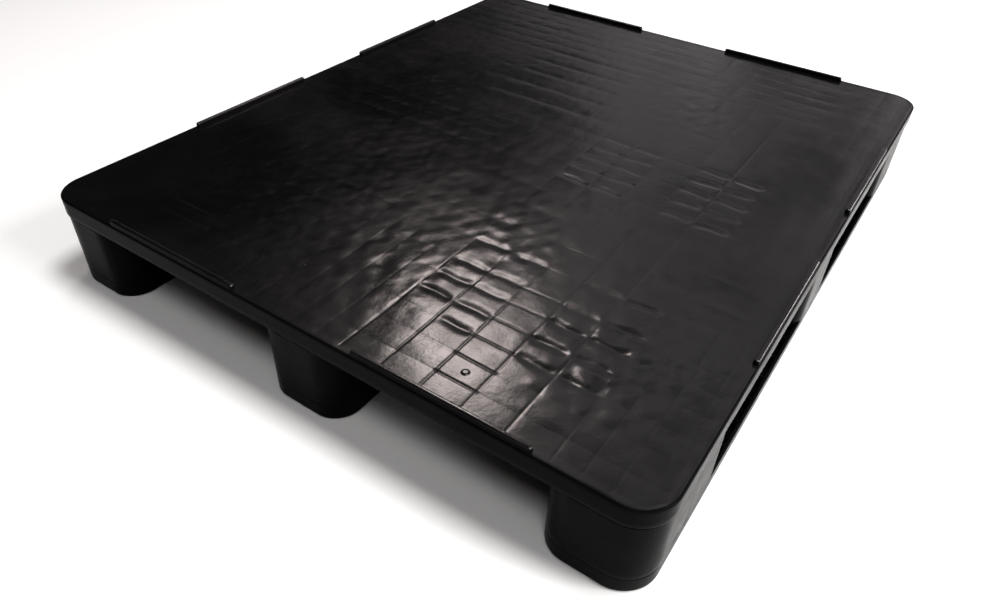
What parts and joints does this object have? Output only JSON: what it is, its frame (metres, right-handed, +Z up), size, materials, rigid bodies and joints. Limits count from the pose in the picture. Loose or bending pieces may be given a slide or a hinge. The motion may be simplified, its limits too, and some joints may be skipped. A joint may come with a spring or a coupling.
{
  "type": "plastic pallet",
  "caption": "Black closed-deck plastic pallet on hollow blocks and lengthwise runners, with low raised rims around the deck and fork pockets on every side.",
  "frame": {"origin": "centre of the footprint, on the floor that the runners stand on", "axes": "+X along the 1000 mm side, +Y along the 1200 mm side and the runners, +Z up"},
  "size_m": [1, 1.2, 0.157],
  "materials": {
    "deck_plastic": "satin black moulded polypropylene with sink marks over the ribs, scuffs and fine scratches",
    "block_plastic": "black moulded polypropylene, slightly duller than the deck, scuffed at the corners",
    "runner_plastic": "black moulded polypropylene, worn grey along the floor edge",
    "screw_steel": "zinc-plated steel"
  },
  "bodies": {
    "root": {"top_deck": "deck_plastic", "block_front_left": "block_plastic", "block_front_middle": "block_plastic", "block_front_right": "block_plastic", "block_centre_left": "block_plastic", "block_centre_middle": "block_plastic", "block_centre_right": "block_plastic", "block_back_left": "block_plastic", "block_back_middle": "block_plastic", "block_back_right": "block_plastic", "runner_left": "runner_plastic", "runner_middle": "runner_plastic", "runner_right": "runner_plastic", "screws_front_left": "screw_steel", "screws_front_middle": "screw_steel", "screws_front_right": "screw_steel", "screws_centre_left": "screw_steel", "screws_centre_middle": "screw_steel", "screws_centre_right": "screw_steel", "screws_back_left": "screw_steel", "screws_back_middle": "screw_steel", "screws_back_right": "screw_steel"}
  },
  "joints": []
}
